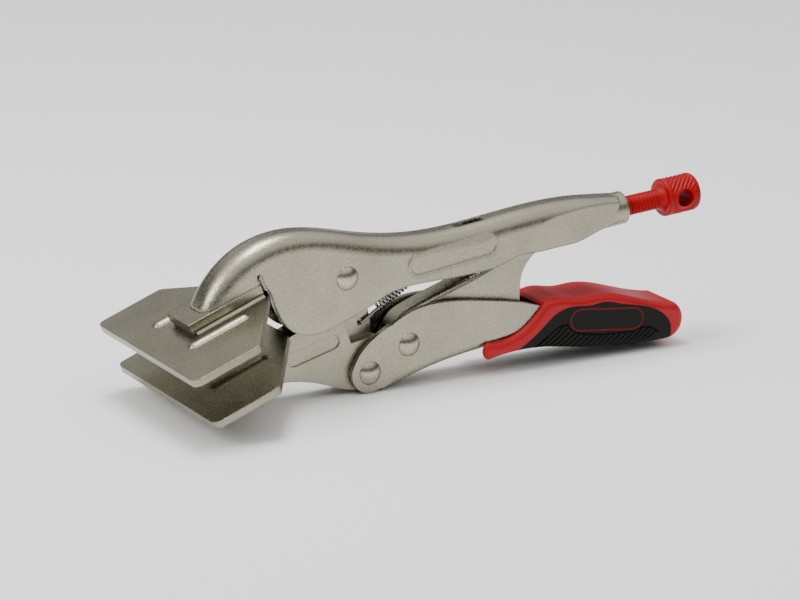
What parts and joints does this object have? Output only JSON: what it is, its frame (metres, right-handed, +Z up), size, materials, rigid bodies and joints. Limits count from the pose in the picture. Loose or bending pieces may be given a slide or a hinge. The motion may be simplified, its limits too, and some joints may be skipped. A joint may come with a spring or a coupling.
{
  "type": "hand seamer",
  "caption": "Locking hand seamer: two wide flat jaws for folding sheet metal, a toggle-locked handle pair, a knurled adjusting screw and a two-component release grip.",
  "frame": {"origin": "bottom centre of the whole locked tool's box, in its symmetry plane", "axes": "+X from the jaws to the adjusting knob, +Z up, Y across the jaws"},
  "size_m": [0.2396, 0.08, 0.0663],
  "materials": {
    "nickel": "bead-blasted pearl nickel plate",
    "jaw_nickel": "satin nickel plate, slightly brown",
    "forged_nickel": "nickel plate over a forged skin",
    "weld": "plated weld bead",
    "rivet": "polished nickel",
    "spring_wire": "bright zinc wire",
    "red_screw": "semi-gloss red coating",
    "red_plastic": "semi-gloss moulded plastic",
    "black_rubber": "matte thermoplastic rubber",
    "badge_red": "matte"
  },
  "bodies": {
    "upper_handle": {"upper_handle": "nickel", "fixed_jaw_bar": "jaw_nickel", "fixed_jaw_welds": "weld", "upper_jaw_plate": "jaw_nickel", "jaw_pivot_rivet": "rivet", "extension_spring": "spring_wire"},
    "lower_jaw": {"lower_jaw": "forged_nickel", "lower_jaw_plate": "jaw_nickel", "lower_jaw_welds": "weld"},
    "lower_handle": {"lower_handle": "nickel", "handle_pivot_rivet": "rivet", "link_pivot_rivet": "rivet", "release_pin": "spring_wire", "release_spring": "spring_wire"},
    "toggle_link": {"toggle_link": "nickel"},
    "release_grip": {"grip_shell": "red_plastic", "grip_overmould": "black_rubber", "grip_badge_near": "badge_red", "grip_badge_far": "badge_red"},
    "screw_travel": {"screw_thrust_tip": "spring_wire"},
    "screw": {"adjusting_screw": "red_screw", "screw_knob": "red_screw"}
  },
  "joints": [
    {"name": "jaw_pivot", "type": "hinge", "parent": "upper_handle", "child": "lower_jaw", "pos_m": [-0.0404, 0, 0.04615], "axis": [0, 1, 0], "range_deg": [-12, 0], "deforming": ["extension_spring"]},
    {"name": "handle_pivot", "type": "hinge", "parent": "lower_jaw", "child": "lower_handle", "pos_m": [-0.0299, 0, 0.00775], "axis": [0, 1, 0], "range_deg": [0, 63]},
    {"name": "link_pivot", "type": "hinge", "parent": "lower_handle", "child": "toggle_link", "pos_m": [-0.0136, 0, 0.01685], "axis": [0, 1, 0], "range_deg": [-63.4, 0]},
    {"name": "grip_release", "type": "hinge", "parent": "lower_handle", "child": "release_grip", "pos_m": [0.0579, 0, 0.01695], "axis": [0, 1, 0], "range_deg": [0, 4], "stiffness_Nm_per_rad": 2, "springref_deg": -8.59},
    {"name": "screw_travel", "type": "slide", "parent": "upper_handle", "child": "screw_travel", "axis": [0.9963, 0, 0.0854], "range_m": [0, 0.012]},
    {"name": "screw_turn", "type": "hinge", "parent": "screw_travel", "child": "screw", "pos_m": [0.0859, 0, 0.05615], "axis": [0.9963, 0, 0.0854], "range_deg": [0, 2880]}
  ],
  "couplings": [
    {"joint": "handle_pivot", "follows": "jaw_pivot", "ratio": -5.2309},
    {"joint": "link_pivot", "follows": "jaw_pivot", "ratio": 5.2818},
    {"joint": "screw_turn", "follows": "screw_travel", "rad_per_m": 4188.8}
  ]
}
